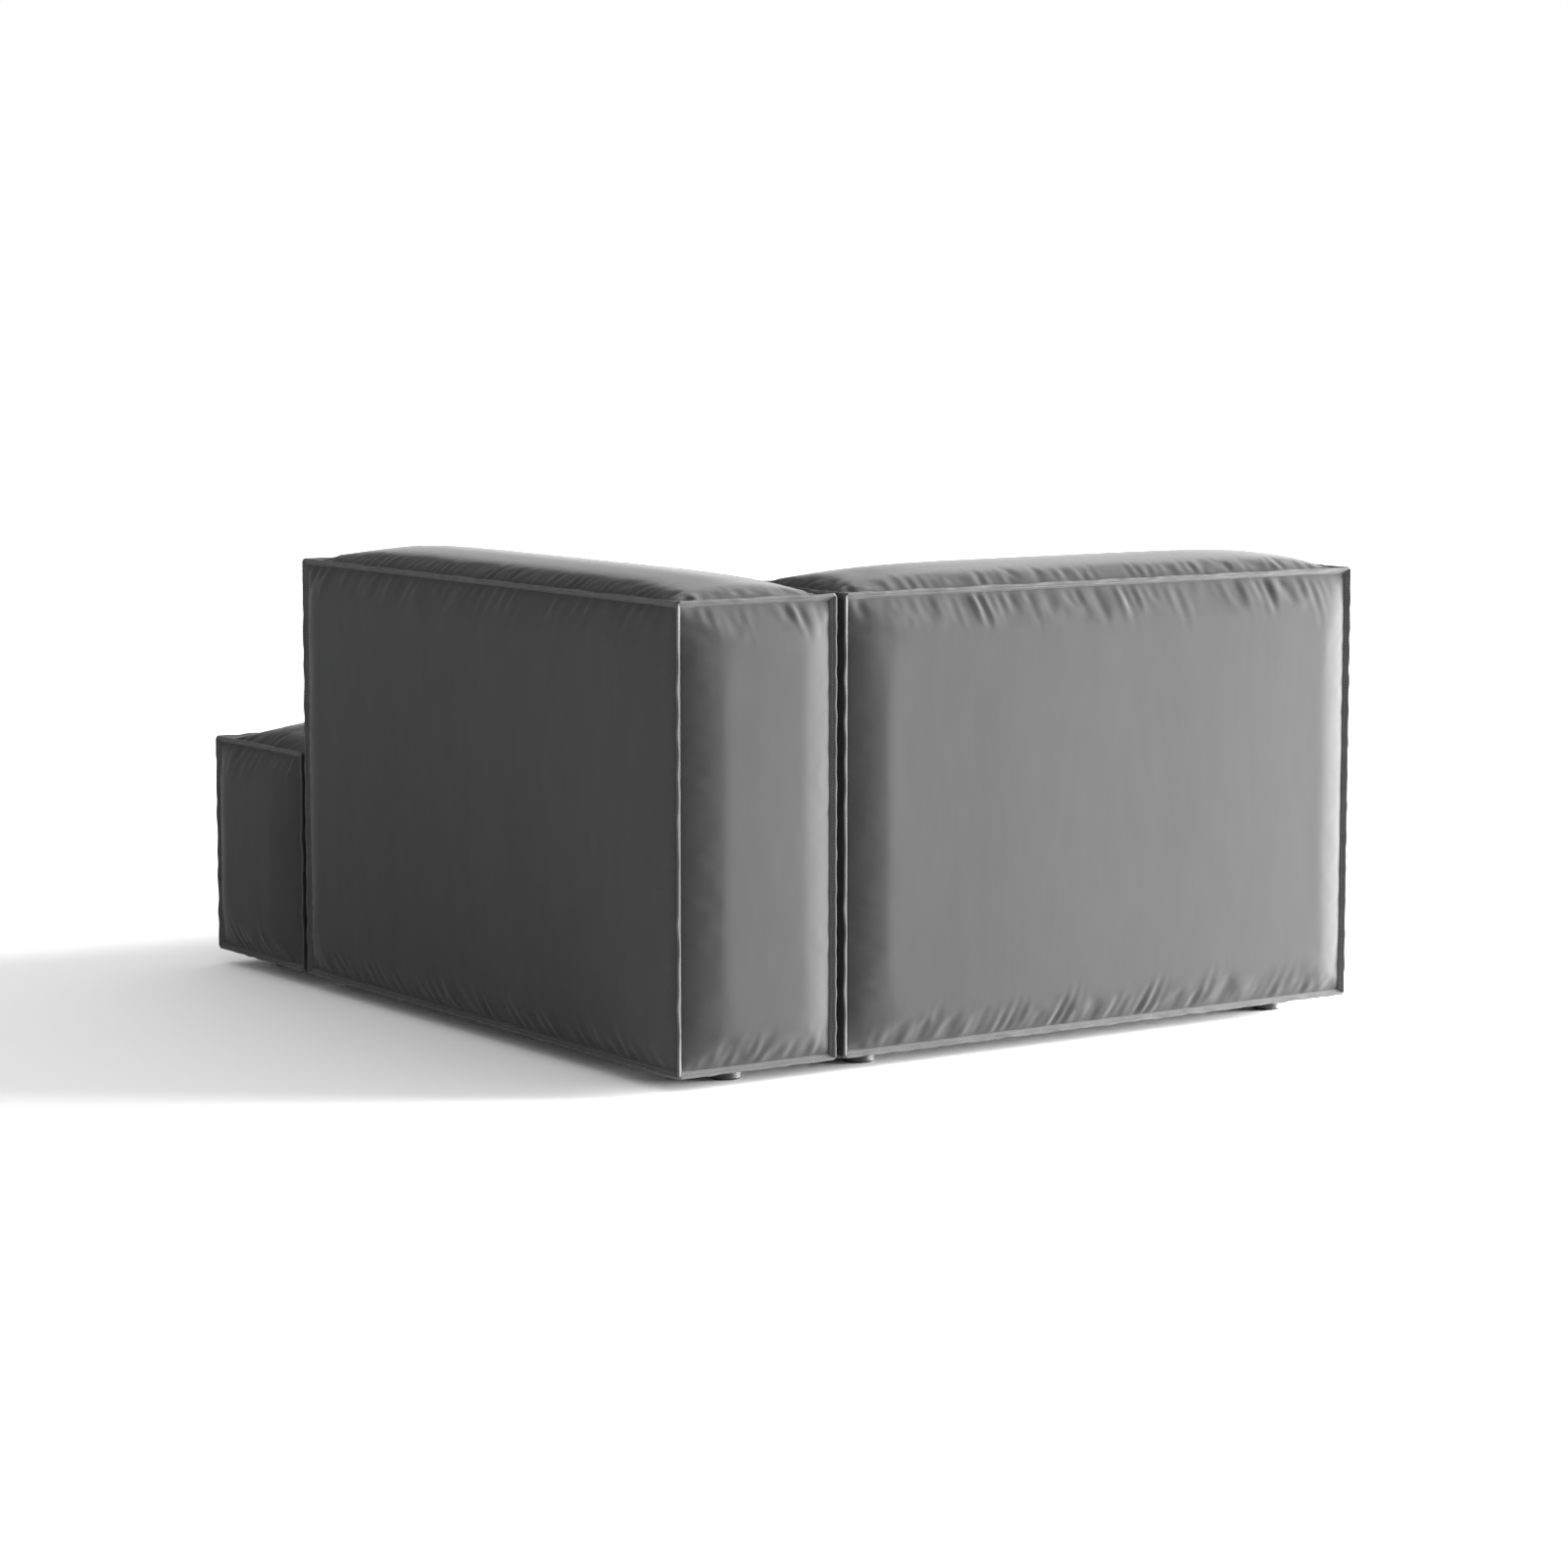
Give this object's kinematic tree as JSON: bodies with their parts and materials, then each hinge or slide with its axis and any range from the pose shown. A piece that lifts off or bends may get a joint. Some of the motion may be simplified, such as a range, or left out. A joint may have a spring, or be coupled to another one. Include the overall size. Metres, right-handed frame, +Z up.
{
  "type": "daybed",
  "caption": "Modular upholstered daybed: a low L-shaped seat block with a taller arm block and a taller back block hooked on, flanged seams and small round feet.",
  "frame": {"origin": "on the floor under the middle of the assembled daybed's bounding box", "axes": "+X towards the arm, -Y the open front, +Y the rear, +Z up"},
  "size_m": [1.265, 1.432, 0.713],
  "materials": {
    "velvet": "short-pile grey velvet",
    "foam": "open-cell upholstery foam",
    "dust_cloth": "black non-woven dust cloth",
    "felt": "needled felt pad",
    "webbing": "woven elastic webbing",
    "foot_plastic": "moulded black plastic",
    "spring_steel": "drawn spring wire",
    "zinc_steel": "zinc-plated steel",
    "plywood": "plywood sheet",
    "hardboard": "fibreboard sheet",
    "timber": "sawn softwood"
  },
  "bodies": {
    "seat": {"seat_centre_rail": "timber", "seat_connector_plates": "zinc_steel", "seat_connector_screws": "zinc_steel", "seat_core_foam": "foam", "seat_corner_blocks": "timber", "seat_cover": "velvet", "seat_dust_cover": "dust_cloth", "seat_feet": "foot_plastic", "seat_foot_screws": "zinc_steel", "seat_rails": "timber", "seat_seam_flanges": "velvet", "seat_side_foam": "foam", "seat_spring_clips": "spring_steel", "seat_spring_pad": "felt", "seat_springs": "spring_steel", "seat_tie_wires": "spring_steel", "seat_toe_deck": "plywood", "seat_top_foam": "foam"},
    "arm": {"arm_bottom_frame": "timber", "arm_connector_plates": "zinc_steel", "arm_connector_screws": "zinc_steel", "arm_cover": "velvet", "arm_dust_cover": "dust_cloth", "arm_end_boards": "hardboard", "arm_end_foam": "foam", "arm_feet": "foot_plastic", "arm_foot_screws": "zinc_steel", "arm_posts": "timber", "arm_seam_flanges": "velvet", "arm_side_boards": "hardboard", "arm_side_foam": "foam", "arm_top_board": "hardboard", "arm_top_foam": "foam", "arm_top_frame": "timber"},
    "back": {"back_bottom_frame": "timber", "back_connector_plates": "zinc_steel", "back_connector_screws": "zinc_steel", "back_cover": "velvet", "back_dust_cover": "dust_cloth", "back_end_boards": "hardboard", "back_end_foam": "foam", "back_feet": "foot_plastic", "back_foot_screws": "zinc_steel", "back_posts": "timber", "back_rear_board": "hardboard", "back_seam_flanges": "velvet", "back_side_foam": "foam", "back_top_board": "hardboard", "back_top_foam": "foam", "back_top_frame": "timber", "back_webbing": "webbing"}
  },
  "joints": [
    {"name": "arm_lift", "type": "slide", "parent": "seat", "child": "arm", "axis": [0, 0, 1], "range_m": [0, 0.08]},
    {"name": "back_lift", "type": "slide", "parent": "seat", "child": "back", "axis": [0, 0, 1], "range_m": [0, 0.08]}
  ]
}
